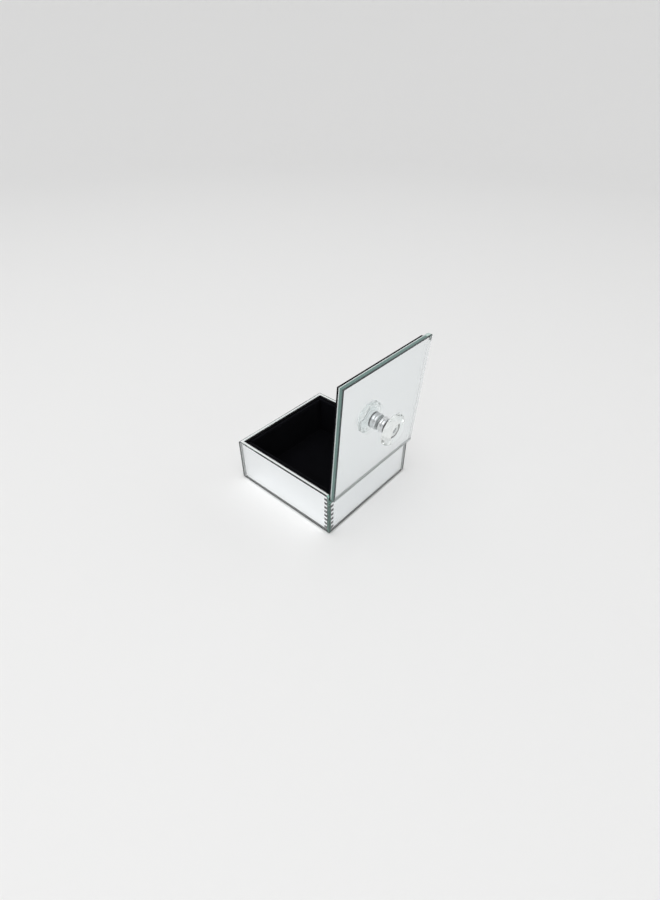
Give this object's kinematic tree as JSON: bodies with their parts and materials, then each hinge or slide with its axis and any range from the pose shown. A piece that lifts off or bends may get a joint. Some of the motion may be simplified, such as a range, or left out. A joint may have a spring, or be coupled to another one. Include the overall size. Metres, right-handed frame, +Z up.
{
  "type": "mirrored glass trinket box",
  "caption": "Small square trinket box of mirrored glass with a velvet-lined well and a hinged glass lid with a faceted crystal knob.",
  "frame": {"origin": "middle of the underside of the base, on the surface the box stands on", "axes": "+Z up out of the open top, +Y towards the hinge side at the back, +X to the right seen from the front"},
  "size_m": [0.1, 0.1204, 0.1347],
  "materials": {
    "mirror_glass": "clear glass silvered on the back, polished faces and ground edges",
    "crystal": "cut and polished",
    "chrome": "polished",
    "velvet": "short black pile",
    "felt": "pressed felt",
    "black_board": "grey board covered in black paper",
    "black_wood": "hardwood stained black",
    "hinge_brass": "bright rolled brass",
    "steel": "bright zinc plate",
    "gasket": "soft white, matt",
    "black_rubber": "black, slightly glossy"
  },
  "bodies": {
    "box_body": {"base_felt": "felt", "base_board": "black_board", "mirror_left": "mirror_glass", "mirror_right": "mirror_glass", "mirror_front": "mirror_glass", "mirror_back": "mirror_glass", "wall_board_left": "black_board", "wall_board_right": "black_board", "wall_board_front": "black_board", "wall_board_back": "black_board", "hinge_strip": "black_wood", "velvet_left": "velvet", "velvet_right": "velvet", "velvet_front": "velvet", "velvet_back": "velvet", "velvet_floor": "velvet", "hinge_leaf_fixed_left": "hinge_brass", "hinge_leaf_fixed_right": "hinge_brass", "hinge_pin_left": "steel", "hinge_pin_right": "steel", "hinge_screws": "hinge_brass"},
    "lid": {"hinge_leaf_moving_left": "hinge_brass", "hinge_leaf_moving_right": "hinge_brass", "lid_rivets": "hinge_brass", "lid_mirror": "mirror_glass", "lid_board": "black_board", "lid_velvet": "velvet", "knob_gasket": "gasket", "knob_collar": "chrome", "knob_seal": "black_rubber", "knob_crystal": "crystal", "knob_screw": "steel", "knob_washer": "steel"}
  },
  "joints": [
    {"name": "lid_hinge", "type": "hinge", "parent": "box_body", "child": "lid", "pos_m": [0, 0.0476, 0.0385], "axis": [1, 0, 0], "range_deg": [0, 93.5]}
  ]
}
